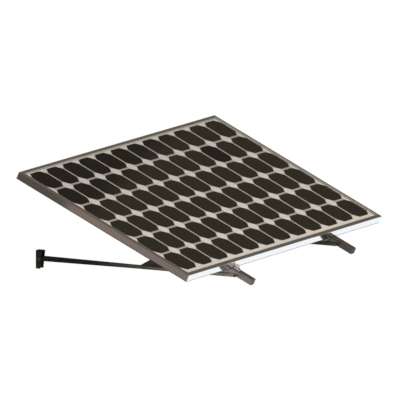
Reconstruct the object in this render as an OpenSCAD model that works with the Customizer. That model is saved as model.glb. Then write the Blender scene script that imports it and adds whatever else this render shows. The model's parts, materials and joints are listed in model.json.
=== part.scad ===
// A framed solar module on a wall mount. Two rails carry the module. Each rail
// hangs on a short arm at its upper end and rests on a long strut at its lower
// end, and a gusset plate closes the corner between strut and rail.
// The origin is on the wall, in the middle of the four wall holes of the lower
// feet. X runs along the wall, -Y leads away from it and Z is up.

/* [Cells] */
// Distance between neighbouring cells, both ways
cell_pitch = 128; // [120:1:160]
// Side of a cell
cell_side = 118; // [100:1:119]
// Diameter of the round blank that a cell is cut from
blank_d = 134; // [124:1:160]
// Thickness of a cell
cell_t = 0.3; // [0.2:0.1:0.6]
// Cells along the wall
cell_cols = 12; // [8:1:14]
// Cells down the slope
cell_rows = 6; // [4:1:8]

/* [Laminate] */
// Bare margin beside the cells at the left and right edges
margin_side = 25.5; // [20:0.5:50]
// Bare margin above the cells at the rear edge
margin_rear = 24.5; // [20:0.5:50]
// Bare margin below the cells at the front edge
margin_front = 35.5; // [20:0.5:50]
// Thickness of the glass
glass_t = 3.2; // [2.5:0.1:5]
// Thickness of the encapsulant, with the cells in its upper face
encapsulant_t = 0.8; // [0.7:0.1:1.5]
// Thickness of the backsheet
backsheet_t = 0.4; // [0.3:0.1:1]

/* [Module frame] */
// Depth of the frame
frame_h = 30; // [28:1:50]
// Wall thickness of the frame's extrusion
frame_wall = 1.6; // [1.2:0.1:2.4]
// Width of the lip over the glass
lip_w = 15.5; // [12:0.5:20]
// Radius on the lip's outer edge
lip_r = 3; // [0.5:0.5:4]
// Width of the extrusion's closed chamber
chamber_w = 12; // [9:0.5:14]
// Height inside the closed chamber
chamber_h = 10; // [6:0.5:11]
// Width of the flange at the frame's foot
flange_w = 28; // [26:1:40]
// Height of the bead on the flange's inner edge
bead_h = 3; // [2:0.5:5]
// Seal between the laminate's faces and the groove
seal_t = 0.4; // [0.2:0.1:1]
// Seal between the laminate's edge and the bottom of the groove
seal_edge = 1; // [0.5:0.1:2]
// How far the seal stays short of the lip's inner edge
seal_back = 1.5; // [0.5:0.5:4]
// Length of a corner key's leg
key_leg = 45; // [20:1:80]
// Play of a corner key in the chamber
key_play = 0.1; // [0.05:0.05:0.3]
// Distance of a drain slot from the module's corner
drain_in = 90; // [60:1:150]
// Length of a drain slot
drain_l = 14; // [8:1:24]
// Width of a drain slot
drain_w = 5; // [3:0.5:6]

/* [Junction box] */
// Length along the wall
box_l = 110; // [90:1:140]
// Width down the slope
box_w = 92; // [80:1:120]
// Depth with the lid on
box_h = 18; // [16:0.5:20]
// Wall thickness
box_wall = 2.5; // [2:0.1:3.5]
// Radius of the corners
box_r = 8; // [4:0.5:12]
// Distance from the module's rear edge
box_in = 62; // [40:1:120]
// Spacing of the cable glands
gland_pitch = 62; // [40:1:70]
// Diameter of a gland's nut
gland_d = 14; // [10:0.5:14.5]
// Length of a gland outside the box
gland_l = 19; // [12:1:30]
// Bore of a gland
gland_bore = 6; // [4:0.5:8]
// Spacing of the terminal clips
clip_pitch = 24; // [20:1:26]

/* [Rails] */
// Distance between the rails' middles
rail_spacing = 822; // [500:1:1100]
// How far the pair of rails is set to the right of the module's middle
rail_shift = 9; // [-40:1:40]
// Width of a rail
rail_w = 28; // [24:1:40]
// Height of a rail
rail_h = 25; // [22:1:40]
// Wall thickness of a rail
rail_wall = 2; // [1.5:0.1:3]
// Outer corner radius of a rail
rail_r = 2.5; // [1.5:0.5:3]
// Length of the rails past the module's front edge
rail_front = 96; // [50:1:150]
// Length of the rails past the module's rear edge
rail_back = 12; // [0:1:30]

/* [Slope] */
// Angle of the module from level, in degrees
tilt = 24.8; // [15:0.1:35]
// Distance of the front pivot from the wall
pivot_out = 874; // [868:1:1000]
// Distance of the front pivot past the module's front edge
pivot_front = 33; // [20:1:40]
// How much higher the front pivot is than the lower foot's pin
strut_rise = 2; // [0:0.5:40]
// Distance of the arm's pin from the module's rear edge
arm_in = 112; // [90:1:200]

/* [Struts and arms] */
// Width of the folded channel
strut_w = 22; // [18:1:30]
// Sheet thickness of the channel
strut_wall = 2.5; // [1.5:0.1:3]
// Height of the channel at the wall
strut_h_wall = 18; // [14:0.5:22]
// Height of the channel along the gusset and at the front pivot
strut_h = 11.5; // [11:0.5:14]
// Chamfer on the channel's corners at the wall
strut_chamfer = 3; // [1:0.5:4]
// Gap between the channel's end and the foot's web
end_gap = 0.8; // [0.5:0.1:2]

/* [Gussets] */
// Thickness of the plate
gusset_t = 4; // [3:0.5:6]
// Reach of the plate along the strut, from the front pivot
gusset_strut = 425; // [300:1:500]
// Reach of the plate along the rail, from the front pivot
gusset_rail = 274; // [200:1:340]
// Half the width of the plate's laps on the strut and on the rail
gusset_lap = 5.5; // [5.2:0.1:5.7]
// Distance of the outer bolts from the plate's rear edge
gusset_bolt_in = 24; // [20:1:60]

/* [Wall feet] */
// Height of a foot
foot_h = 71; // [64:1:100]
// Sheet thickness of a foot
foot_t = 3; // [2:0.5:5]
// Inner radius of a foot's folds
fold_r = 1; // [0.5:0.5:3]
// Depth of the ears at the top
ear_top = 28; // [26:0.5:36]
// Depth of the ears at the bottom
ear_bottom = 20; // [19:0.5:30]
// Play of the channel between the ears, on each side
ear_play = 0.3; // [0.2:0.1:0.6]
// Distance of a foot's pin from the wall
pin_out = 18; // [16:0.5:19]
// Height of the pin above the middle of its foot
pin_up = 3.5; // [0:0.5:6]
// Spacing of the two wall holes in a foot
wall_hole_pitch = 48; // [46:1:56]
// Diameter of the wall holes
wall_hole_d = 9; // [7:0.5:10]

/* [Fasteners] */
// Thread diameter of the bolts
bolt_d = 6; // [5:0.5:6]
// Clearance of a bolt in its holes, on the diameter
bolt_play = 0.5; // [0.2:0.1:0.8]
// Width across the flats of heads and nuts
hex_af = 10; // [9:0.5:10]
// Height of a bolt's head
head_h = 4; // [3:0.5:6]
// Height of a nut
nut_h = 5; // [4:0.5:7]
// Bore of a nut over the thread diameter
thread_play = 0.1; // [0.1:0.1:0.3]
// Outer diameter of a washer
washer_d = 12; // [11:0.5:13]
// Thickness of a washer
washer_t = 1.4; // [1:0.1:2]
// Thread that stands out of a nut
bolt_proud = 2; // [1:0.5:5]
// Distance of the module's bolts from the frame's outer face
module_bolt_in = 19; // [18.5:0.5:20]

/* [Ground lug] */
// Length of the lug along the rail
lug_l = 25; // [20:1:32]
// Width of the lug
lug_w = 14; // [10:1:18]
// Height of the lug
lug_h = 15; // [12:0.5:20]
// Thickness of the lug's walls
lug_t = 3; // [2:0.5:4]
// Gap between the lug and the frame
lug_gap = 3; // [1:0.5:10]
// Diameter of the lug's two screws
lug_screw_d = 5; // [4:0.5:5]

/* [Hidden] */
$fn = 32;

// Overall size of the module, along the wall and down the slope
module_l = (cell_cols - 1) * cell_pitch + cell_side + 2 * margin_side;
module_w = (cell_rows - 1) * cell_pitch + cell_side + margin_rear + margin_front;

// Heights in the module, from the seat on the rails
lip_under = frame_h - frame_wall;
glass_top = lip_under - seal_t;
glass_under = glass_top - glass_t;
encapsulant_under = glass_under - encapsulant_t;
laminate_under = encapsulant_under - backsheet_t;
shelf_top = laminate_under - seal_t;
chamber_top = shelf_top - frame_wall;
chamber_under = chamber_top - chamber_h;
laminate_in = frame_wall + seal_edge;
seal_in = lip_w - seal_back;

// Places of the two struts, of the rails to the right of them and of the module
strut_xs = [-rail_spacing / 2, rail_spacing / 2];
strut_offset = rail_w / 2 + gusset_t + strut_w / 2;
rail_xs = [for (x = strut_xs) x + strut_offset];
module_x = strut_offset - rail_shift;
gusset_offset = (rail_w + gusset_t) / 2;
rail_len = module_w + rail_front + rail_back;
rail_mid = -rail_h / 2;

// The seat's rear edge, found from the front pivot, which lies in a rail
pivot_z = pin_up + strut_rise;
pivot_slope_y = -(module_w + pivot_front);
seat_y = -pivot_out - (pivot_slope_y * cos(tilt) - rail_mid * sin(tilt));
seat_z = pivot_z - (pivot_slope_y * sin(tilt) + rail_mid * cos(tilt));

// The arm's pin in the rail, and the arm's length between its pins
arm_pin_y = seat_y - arm_in * cos(tilt) - rail_mid * sin(tilt);
arm_pin_z = seat_z - arm_in * sin(tilt) + rail_mid * cos(tilt);
arm_len = -arm_pin_y - pin_out;
upper_foot_z = arm_pin_z - pin_up;

// The strut's length between its pins, and its angle
strut_len = norm([pivot_out - pin_out, strut_rise]);
strut_angle = atan2(strut_rise, pivot_out - pin_out);
end_len = pin_out - foot_t - end_gap;

// Feet, bolts and the rest
foot_in_w = strut_w + 2 * ear_play;
foot_w = foot_in_w + 2 * foot_t;
hole_d = bolt_d + bolt_play;
gusset_nose = 12;
drain_y = chamber_w + (flange_w - frame_wall - chamber_w) / 2;
key_grooves = [0.45, 0.7];
rail_r_in = max(rail_r - rail_wall, 0.5);
box_y = -box_in - box_w / 2;
box_top = laminate_under;
box_under = box_top - box_h;
gland_z = box_under + box_wall + gland_d / 2;
gland_spigot_d = gland_d * 0.7;
gland_barrel_d = gland_d * 0.86;
gland_nut_l = gland_l / 4;
gland_ribs = 12;
lid_rim = box_wall * 0.6;
lid_slot = [16, 3];
clip_size = [12, 16, 5];
clip_bore = 2;
diode_d = 5;
diode_lead = [1, 2];
diode_y = box_y + 26;
lug_y = -module_w - lug_gap - lug_l;
lug_base_l = 11;
lug_screw_head = [8.5, 3.2];
lug_thread_l = 9;
groove_w = 1.2;

// Places children in the module's own slope, with the seat at Z = 0
module on_slope() {
    translate([0, seat_y, seat_z]) rotate([tilt, 0, 0]) children();
}

// Places children in the module, centred between its left and right edges
module on_module() {
    on_slope() translate([module_x, 0, 0]) children();
}

// Places children along the strut, with the foot's pin at the origin
module on_strut(i) {
    translate([strut_xs[i], -pin_out, pin_up]) rotate([-strut_angle, 0, 0]) children();
}

// Places children along the upper arm, with the foot's pin at the origin
module on_arm(i) {
    translate([strut_xs[i], -pin_out, arm_pin_z]) children();
}

// Turns a flat outline in Y and Z into a plate of the given thickness along X
module plate_x(t) {
    rotate([90, 0, 90]) linear_extrude(height = t, center = true) children();
}

// A round bar along X, centred on the origin
module bar_x(d, l) {
    rotate([0, 90, 0]) cylinder(d = d, h = l, center = true);
}

// A rectangle with round corners, centred on the origin
module round_rect(w, h, r) {
    square([w - 2 * r, h], center = true);
    square([w, h - 2 * r], center = true);
    for (x = [-1, 1], y = [-1, 1])
        translate([x * (w / 2 - r), y * (h / 2 - r)]) circle(r = r);
}

// Hexagon head or nut of height h from Z = 0, chamfered on its upper face
module hexagon(h) {
    intersection() {
        cylinder(d = hex_af / cos(30), h = h, $fn = 6);
        cylinder(d1 = hex_af / cos(30) + 2 * h, d2 = hex_af * 0.95, h = h);
    }
}

// Bolt with its head below Z = 0 and its shank above
module hex_bolt(l) {
    rotate([180, 0, 0]) hexagon(head_h);
    cylinder(d = bolt_d, h = l - bolt_d / 8);
    translate([0, 0, l - bolt_d / 8]) cylinder(d1 = bolt_d, d2 = bolt_d * 0.75, h = bolt_d / 8);
}

// Nut that stands on Z = 0
module hex_nut() {
    difference() {
        hexagon(nut_h);
        translate([0, 0, -1]) cylinder(d = bolt_d + thread_play, h = nut_h + 2);
    }
}

// Washer that stands on Z = 0
module washer(t) {
    difference() {
        cylinder(d = washer_d, h = t);
        translate([0, 0, -1]) cylinder(d = hole_d, h = t + 2);
    }
}

// Turns +Z into +X, for bolts that cross a strut or a rail
module along_x() {
    rotate([0, 90, 0]) children();
}

// Section of the frame's extrusion, with its outer face at X = 0
module frame_section() {
    lip_arc = [for (a = [90:15:180]) [lip_r + lip_r * cos(a), frame_h - lip_r + lip_r * sin(a)]];
    difference() {
        polygon(concat(
            [[0, 0], [flange_w, 0], [flange_w, bead_h], [flange_w - frame_wall, bead_h]],
            [[flange_w - frame_wall, frame_wall], [frame_wall, frame_wall]],
            [[frame_wall, chamber_under - frame_wall], [chamber_w, chamber_under - frame_wall]],
            [[chamber_w, shelf_top], [frame_wall, shelf_top], [frame_wall, lip_under]],
            [[lip_w, lip_under], [lip_w, frame_h]],
            lip_arc
        ));
        translate([frame_wall, chamber_under])
            square([chamber_w - 2 * frame_wall, chamber_h]);
    }
}

// One side of the frame along X, mitred at both ends, its outer face at Y = 0
module frame_member(l) {
    intersection() {
        rotate([90, 0, 90]) linear_extrude(height = l, center = true) frame_section();
        translate([0, 0, -1]) linear_extrude(height = frame_h + 2)
            polygon([[-l / 2, 0], [l / 2, 0], [l / 2 - flange_w, flange_w],
                [flange_w - l / 2, flange_w]]);
    }
}

// Long side of the frame, with holes for the rails' bolts and slots for water
module frame_long_side(bolt_xs) {
    color([0.42, 0.38, 0.34]) difference() {
        frame_member(module_l);
        for (x = bolt_xs)
            translate([x, module_bolt_in, -1]) cylinder(d = hole_d, h = frame_wall + 2);
        for (x = [drain_in - module_l / 2, module_l / 2 - drain_in])
            translate([x, drain_y, -1]) linear_extrude(height = frame_wall + 2) {
                square([drain_l - drain_w, drain_w], center = true);
                for (s = [-1, 1]) translate([s * (drain_l - drain_w) / 2, 0]) circle(d = drain_w);
            }
    }
}

// Short side of the frame
module frame_short_side() {
    color([0.42, 0.38, 0.34]) frame_member(module_w);
}

module frame_front() {
    on_module() translate([0, -module_w, 0]) frame_long_side([for (x = rail_xs) x - module_x]);
}

module frame_rear() {
    on_module() rotate([0, 0, 180]) frame_long_side([for (x = rail_xs) module_x - x]);
}

module frame_left() {
    on_module() translate([-module_l / 2, -module_w / 2, 0]) rotate([0, 0, -90]) frame_short_side();
}

module frame_right() {
    on_module() translate([module_l / 2, -module_w / 2, 0]) rotate([0, 0, 90]) frame_short_side();
}

// Angle pressed into the chambers where two sides of the frame meet
module corner_key() {
    in = frame_wall + key_play;
    w = chamber_w - 2 * in;
    translate([in, in, chamber_under + key_play]) difference() {
        linear_extrude(height = chamber_h - 2 * key_play) {
            square([key_leg, w]);
            square([w, key_leg]);
        }
        for (p = key_grooves)
            translate([0, 0, chamber_h / 2 - key_play]) {
                translate([key_leg * p, -1, 0]) rotate([-90, 0, 0]) cylinder(d = groove_w * 2, h = w + 2);
                translate([-1, key_leg * p, 0]) rotate([0, 90, 0]) cylinder(d = groove_w * 2, h = w + 2);
            }
    }
}

module corner_keys() {
    color([0.6, 0.6, 0.62]) on_module() translate([0, -module_w / 2, 0])
        for (sx = [-1, 1], sy = [-1, 1])
            mirror([sx > 0 ? 1 : 0, 0, 0]) mirror([0, sy > 0 ? 1 : 0, 0])
                translate([-module_l / 2, -module_w / 2, 0]) corner_key();
}

// Flat layer of the laminate between two heights, its edge set in by a margin
module layer(margin, z0, z1) {
    translate([margin - module_l / 2, margin - module_w, z0])
        cube([module_l - 2 * margin, module_w - 2 * margin, z1 - z0]);
}

module edge_seal() {
    color([0.1, 0.1, 0.1]) on_module() difference() {
        layer(frame_wall, shelf_top, lip_under);
        layer(laminate_in, laminate_under, glass_top);
        layer(seal_in, shelf_top - 1, lip_under + 1);
    }
}

module glass() {
    color([0.75, 0.82, 0.85, 0.35]) on_module() layer(laminate_in, glass_under, glass_top);
}

// All the cells in outline: squares whose corners the round blank cuts off
module cell_outlines() {
    first_x = margin_side + cell_side / 2 - module_l / 2;
    first_y = -margin_rear - cell_side / 2;
    for (c = [0:cell_cols - 1], r = [0:cell_rows - 1])
        translate([first_x + c * cell_pitch, first_y - r * cell_pitch])
            intersection() {
                square(cell_side, center = true);
                circle(d = blank_d, $fn = 64);
            }
}

module solar_cells() {
    color([0.17, 0.16, 0.13]) on_module() translate([0, 0, glass_under - cell_t])
        linear_extrude(height = cell_t) cell_outlines();
}

module encapsulant() {
    color([0.8, 0.77, 0.72]) on_module() {
        layer(laminate_in, encapsulant_under, glass_under - cell_t);
        translate([0, 0, glass_under - cell_t]) linear_extrude(height = cell_t) difference() {
            translate([laminate_in - module_l / 2, laminate_in - module_w])
                square([module_l - 2 * laminate_in, module_w - 2 * laminate_in]);
            cell_outlines();
        }
    }
}

module backsheet() {
    color([0.9, 0.9, 0.88]) on_module() layer(laminate_in, laminate_under, encapsulant_under);
}

// Outline of the junction box, drawn smaller by a margin
module box_outline(margin) {
    round_rect(box_l - 2 * margin, box_w - 2 * margin, box_r - margin);
}

module junction_box() {
    color([0.12, 0.12, 0.12]) on_module() difference() {
        translate([0, box_y, box_under + box_wall]) linear_extrude(height = box_h - box_wall)
            box_outline(0);
        translate([0, box_y, box_under]) linear_extrude(height = box_h - box_wall)
            box_outline(box_wall);
        for (s = [-1, 1])
            translate([s * gland_pitch / 2, box_y - box_w / 2 - 1, gland_z])
                rotate([-90, 0, 0]) cylinder(d = gland_spigot_d, h = box_wall + 2);
    }
}

module junction_box_lid() {
    color([0.14, 0.14, 0.14]) on_module() {
        difference() {
            translate([0, box_y, box_under]) linear_extrude(height = box_wall) box_outline(0);
            for (s = [-1, 1])
                translate([0, box_y + s * (box_w / 2 - box_r), box_under - 1])
                    linear_extrude(height = 1 + box_wall / 2) square(lid_slot, center = true);
        }
        translate([0, box_y, box_under + box_wall]) linear_extrude(height = lid_rim)
            difference() {
                box_outline(box_wall + key_play);
                box_outline(2 * box_wall);
            }
    }
}

// Gland with its threaded spigot in the box's wall and a ribbed nut outside
module cable_gland() {
    difference() {
        union() {
            translate([0, 0, -box_wall]) cylinder(d = gland_spigot_d - key_play, h = box_wall);
            cylinder(d = gland_barrel_d / cos(30), h = gland_nut_l, $fn = 6);
            translate([0, 0, gland_nut_l]) cylinder(d = gland_barrel_d, h = 2 * gland_nut_l);
            translate([0, 0, 3 * gland_nut_l])
                cylinder(d1 = gland_barrel_d, d2 = gland_bore + 2 * groove_w, h = gland_nut_l);
        }
        translate([0, 0, -box_wall - 1]) cylinder(d = gland_bore, h = box_wall + gland_l + 2);
        for (k = [1:gland_ribs])
            rotate([0, 0, k * 360 / gland_ribs])
                translate([gland_barrel_d / 2, 0, gland_nut_l + groove_w])
                    cylinder(d = groove_w, h = 2 * gland_nut_l - groove_w, $fn = 4);
    }
}

module cable_glands() {
    color([0.1, 0.1, 0.1]) on_module()
        for (s = [-1, 1])
            translate([s * gland_pitch / 2, box_y - box_w / 2, gland_z]) rotate([90, 0, 0])
                cable_gland();
}

// Clips under the box's floor that take the cells' ribbons and the diodes
module terminal_clips() {
    color([0.75, 0.7, 0.55]) on_module()
        for (k = [-1.5:1:1.5])
            translate([k * clip_pitch, diode_y, box_top - box_wall - clip_size.z / 2]) difference() {
                cube(clip_size, center = true);
                translate([0, 0, -clip_size.z / 2]) rotate([0, 90, 0])
                    cylinder(d = clip_bore, h = clip_size.x + 2, center = true);
            }
}

// Diodes between the clips, each with its two leads
module bypass_diodes() {
    room = clip_pitch - clip_size.x;
    color([0.2, 0.2, 0.2]) on_module()
        for (k = [-1:1])
            translate([k * clip_pitch, diode_y, box_top - box_wall - diode_d / 2]) {
                bar_x(diode_d, room - 2 * diode_lead.y);
                bar_x(diode_lead.x, room);
            }
}

// Hollow rail along the slope, with the holes for all that is bolted to it
module rail(i) {
    color([0.44, 0.43, 0.42]) on_slope() translate([rail_xs[i], 0, 0]) difference() {
        translate([0, rail_back, rail_mid]) rotate([90, 0, 0]) linear_extrude(height = rail_len)
            difference() {
                round_rect(rail_w, rail_h, rail_r);
                round_rect(rail_w - 2 * rail_wall, rail_h - 2 * rail_wall, rail_r_in);
            }
        for (y = [-module_bolt_in, module_bolt_in - module_w])
            translate([0, y, -rail_h - 1]) cylinder(d = hole_d, h = rail_h + 2);
        for (y = [pivot_slope_y, -arm_in, pivot_slope_y + gusset_rail - gusset_bolt_in])
            translate([0, y, rail_mid]) bar_x(hole_d, rail_w + 2);
        if (i == 0)
            translate([0, lug_y + lug_base_l / 2, -rail_wall - 1]) cylinder(d = lug_screw_d, h = rail_wall + 2);
    }
}

// Inverted channel folded from sheet: deep at the wall pin, shallow at the far
// pin, where its end is round. The taper ends at the given distance.
module channel(l, taper, bolt_at) {
    h0 = strut_h_wall / 2;
    h1 = strut_h / 2;
    c = strut_chamfer;
    difference() {
        plate_x(strut_w) {
            polygon([[end_len, c - h0], [end_len, h0 - c], [end_len - c, h0], [-taper, h1],
                [-l, h1], [-l, -h1], [-taper, -h1], [end_len - c, -h0]]);
            translate([-l, 0]) circle(r = h1);
        }
        plate_x(strut_w - 2 * strut_wall)
            polygon([[end_len + 1, -h0 - 1], [end_len + 1, h0 - strut_wall],
                [end_len - c, h0 - strut_wall], [-taper, h1 - strut_wall],
                [-l - h1 - 1, h1 - strut_wall], [-l - h1 - 1, -h0 - 1]]);
        for (y = concat([0, -l], bolt_at)) translate([0, y, 0]) bar_x(hole_d, strut_w + 2);
    }
}

module strut(i) {
    color([0.2, 0.18, 0.15]) on_strut(i)
        channel(strut_len, strut_len - gusset_strut, [gusset_strut - gusset_bolt_in - strut_len]);
}

module upper_arm(i) {
    color([0.2, 0.18, 0.15]) on_arm(i) channel(arm_len, arm_len - 2 * strut_h, []);
}

// Plate between strut and rail, bolted to both and held by the front pivot,
// round which its front end is rounded
module gusset(i) {
    front = [-pivot_out, pivot_z];
    along_strut = [cos(strut_angle), -sin(strut_angle)];
    strut_up = [sin(strut_angle), cos(strut_angle)];
    along_rail = [cos(tilt), sin(tilt)];
    rail_up = [-sin(tilt), cos(tilt)];
    strut_end = front + gusset_strut * along_strut;
    rail_end = front + gusset_rail * along_rail;
    turn = 180 - strut_angle - tilt;
    nose = [for (k = [0:gusset_nose]) let (a = 90 + tilt + turn * k / gusset_nose)
        front + gusset_lap * [cos(a), sin(a)]];
    color([0.22, 0.2, 0.17]) translate([rail_xs[i] - gusset_offset, 0, 0]) difference() {
        plate_x(gusset_t)
            polygon(concat(
                [strut_end - gusset_lap * strut_up, strut_end + gusset_lap * strut_up],
                [rail_end - rail_h / 2 * rail_up, rail_end + gusset_lap * rail_up],
                nose
            ));
        for (p = [front, front + (gusset_strut - gusset_bolt_in) * along_strut,
                front + (gusset_rail - gusset_bolt_in) * along_rail])
            translate([0, p.x, p.y]) bar_x(hole_d, gusset_t + 2);
    }
}

// Foot folded from sheet, with its web on the wall and the pin between its ears
module wall_foot() {
    color([0.16, 0.15, 0.12]) difference() {
        intersection() {
            plate_x(foot_w + 2)
                polygon([[0, -foot_h / 2], [0, foot_h / 2], [-ear_top, foot_h / 2],
                    [-ear_bottom, -foot_h / 2]]);
            translate([0, 0, -foot_h / 2 - 1]) linear_extrude(height = foot_h + 2) difference() {
                fold_outline(foot_w, 0, fold_r + foot_t);
                fold_outline(foot_in_w, foot_t, fold_r);
            }
        }
        translate([0, -pin_out, pin_up]) bar_x(hole_d, foot_w + 2);
        for (s = [-1, 1])
            translate([0, 1, s * wall_hole_pitch / 2]) rotate([90, 0, 0])
                cylinder(d = wall_hole_d, h = foot_t + 2);
    }
}

// Plan of a foot's channel, open away from the wall, with round inner folds
module fold_outline(w, back, r) {
    depth = ear_top + 1;
    translate([-w / 2, -depth]) square([w, depth - back - r]);
    translate([r - w / 2, -back - 2 * r]) square([w - 2 * r, 2 * r]);
    for (s = [-1, 1]) translate([s * (w / 2 - r), -back - r]) circle(r = r);
}

module foot_at(i, z) {
    translate([strut_xs[i], 0, z]) wall_foot();
}

// Bolts through the frame's flange and the rail, with their heads below
module at_module_bolts() {
    on_slope()
        for (x = rail_xs, y = [-module_bolt_in, module_bolt_in - module_w])
            translate([x, y, 0]) children();
}

module module_bolts() {
    color("silver") at_module_bolts() translate([0, 0, -rail_h - washer_t])
        hex_bolt(washer_t + rail_h + frame_wall + nut_h + bolt_proud);
}

module module_washers() {
    color("silver") at_module_bolts() translate([0, 0, -rail_h - washer_t]) washer(washer_t);
}

module module_nuts() {
    color("silver") at_module_bolts() translate([0, 0, frame_wall]) hex_nut();
}

// Left face of the strut at the front pivot of each rail
module at_pivots() {
    for (x = strut_xs) translate([x - strut_w / 2, -pivot_out, pivot_z]) along_x() children();
}

module pivot_bolts() {
    grip = strut_w + gusset_t + rail_w + 2 * washer_t;
    color("silver") at_pivots() translate([0, 0, -washer_t]) hex_bolt(grip + nut_h + bolt_proud);
}

module pivot_washers() {
    color("silver") at_pivots() {
        translate([0, 0, -washer_t]) washer(washer_t);
        translate([0, 0, strut_w + gusset_t + rail_w]) washer(washer_t);
    }
}

module pivot_nuts() {
    color("silver") at_pivots() translate([0, 0, strut_w + gusset_t + rail_w + washer_t]) hex_nut();
}

// Left face of the strut at the gusset's bolt
module at_strut_bolts() {
    for (i = [0, 1])
        on_strut(i) translate([-strut_w / 2, gusset_strut - gusset_bolt_in - strut_len, 0]) along_x()
            children();
}

module gusset_strut_bolts() {
    color("silver") at_strut_bolts() hex_bolt(strut_w + gusset_t + nut_h + bolt_proud);
}

module gusset_strut_nuts() {
    color("silver") at_strut_bolts() translate([0, 0, strut_w + gusset_t]) hex_nut();
}

// Left face of the gusset at its bolt through the rail
module at_rail_bolts() {
    on_slope()
        for (x = rail_xs)
            translate([x - rail_w / 2 - gusset_t, pivot_slope_y + gusset_rail - gusset_bolt_in, rail_mid])
                along_x() children();
}

module gusset_rail_bolts() {
    color("silver") at_rail_bolts() hex_bolt(gusset_t + rail_w + nut_h + bolt_proud);
}

module gusset_rail_nuts() {
    color("silver") at_rail_bolts() translate([0, 0, gusset_t + rail_w]) hex_nut();
}

// Left face of the arm at its pin in the rail
module at_arm_pins() {
    for (i = [0, 1]) on_arm(i) translate([-strut_w / 2, -arm_len, 0]) along_x() children();
}

module arm_spacers() {
    color("silver") at_arm_pins() translate([0, 0, strut_w]) washer(gusset_t);
}

module arm_bolts() {
    grip = strut_w + gusset_t + rail_w + 2 * washer_t;
    color("silver") at_arm_pins() translate([0, 0, -washer_t]) hex_bolt(grip + nut_h + bolt_proud);
}

module arm_washers() {
    color("silver") at_arm_pins() {
        translate([0, 0, -washer_t]) washer(washer_t);
        translate([0, 0, strut_w + gusset_t + rail_w]) washer(washer_t);
    }
}

module arm_nuts() {
    color("silver") at_arm_pins() translate([0, 0, strut_w + gusset_t + rail_w + washer_t]) hex_nut();
}

// Left face of each foot at its pin
module at_foot_pins() {
    for (x = strut_xs, z = [0, upper_foot_z])
        translate([x - foot_w / 2, -pin_out, z + pin_up]) along_x() children();
}

module foot_bolts() {
    color("silver") at_foot_pins() hex_bolt(foot_w + nut_h + bolt_proud);
}

module foot_nuts() {
    color("silver") at_foot_pins() translate([0, 0, foot_w]) hex_nut();
}

// Lug on the left rail, in front of the frame, its slot open to the left
module on_lug() {
    on_slope() translate([rail_xs[0], lug_y, 0]) children();
}

module ground_lug() {
    body_l = lug_l - lug_base_l;
    color([0.78, 0.72, 0.62]) on_lug() difference() {
        plate_x(lug_w) difference() {
            union() {
                square([lug_l, lug_t]);
                translate([lug_base_l, 0]) square([body_l, lug_h]);
            }
            translate([lug_base_l + body_l / 2, lug_t + (body_l - 2 * lug_t) / 2])
                circle(d = body_l - 2 * lug_t);
            translate([lug_base_l + lug_t, lug_t + (body_l - 2 * lug_t) / 2])
                square([body_l - 2 * lug_t, lug_h - 2 * lug_t - (body_l - 2 * lug_t) / 2]);
        }
        translate([0, lug_base_l / 2, -1]) cylinder(d = lug_screw_d + bolt_play, h = lug_t + 2);
        translate([0, lug_base_l + body_l / 2, lug_h - lug_t - 1])
            cylinder(d = lug_screw_d + thread_play, h = lug_t + 2);
    }
}

// Slotted screw with its head on Z = 0 and its shank below
module slotted_screw(l) {
    difference() {
        cylinder(d = lug_screw_head.x, h = lug_screw_head.y);
        translate([0, 0, lug_screw_head.y]) cube([lug_screw_head.x + 2, groove_w, groove_w * 2], center = true);
    }
    translate([0, 0, -l]) cylinder(d = lug_screw_d - thread_play, h = l);
}

module lug_clamp_screw() {
    color([0.78, 0.72, 0.62]) on_lug() translate([0, (lug_l + lug_base_l) / 2, lug_h])
        slotted_screw(lug_t + 1);
}

module lug_base_screw() {
    color("silver") on_lug() translate([0, lug_base_l / 2, lug_t]) slotted_screw(lug_thread_l);
}

frame_front();
frame_rear();
frame_left();
frame_right();
corner_keys();
edge_seal();
glass();
solar_cells();
encapsulant();
backsheet();
junction_box();
junction_box_lid();
cable_glands();
terminal_clips();
bypass_diodes();
rail(0);  // rail_left
rail(1);  // rail_right
module_bolts();
module_washers();
module_nuts();
strut(0);  // strut_left
strut(1);  // strut_right
gusset(0);  // gusset_left
gusset(1);  // gusset_right
pivot_bolts();
pivot_washers();
pivot_nuts();
gusset_strut_bolts();
gusset_strut_nuts();
gusset_rail_bolts();
gusset_rail_nuts();
upper_arm(0);  // upper_arm_left
upper_arm(1);  // upper_arm_right
arm_spacers();
arm_bolts();
arm_washers();
arm_nuts();
foot_at(0, 0);  // lower_foot_left
foot_at(1, 0);  // lower_foot_right
foot_at(0, upper_foot_z);  // upper_foot_left
foot_at(1, upper_foot_z);  // upper_foot_right
foot_bolts();
foot_nuts();
ground_lug();
lug_clamp_screw();
lug_base_screw();
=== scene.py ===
"""Dresses the solar module and its wall mount, and sets up the light and the camera."""

import json
import logging
import math
from dataclasses import dataclass
from enum import Enum
from typing import Protocol, Sequence, Union

import bmesh
import bpy
from mathutils import Matrix, Vector

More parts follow.
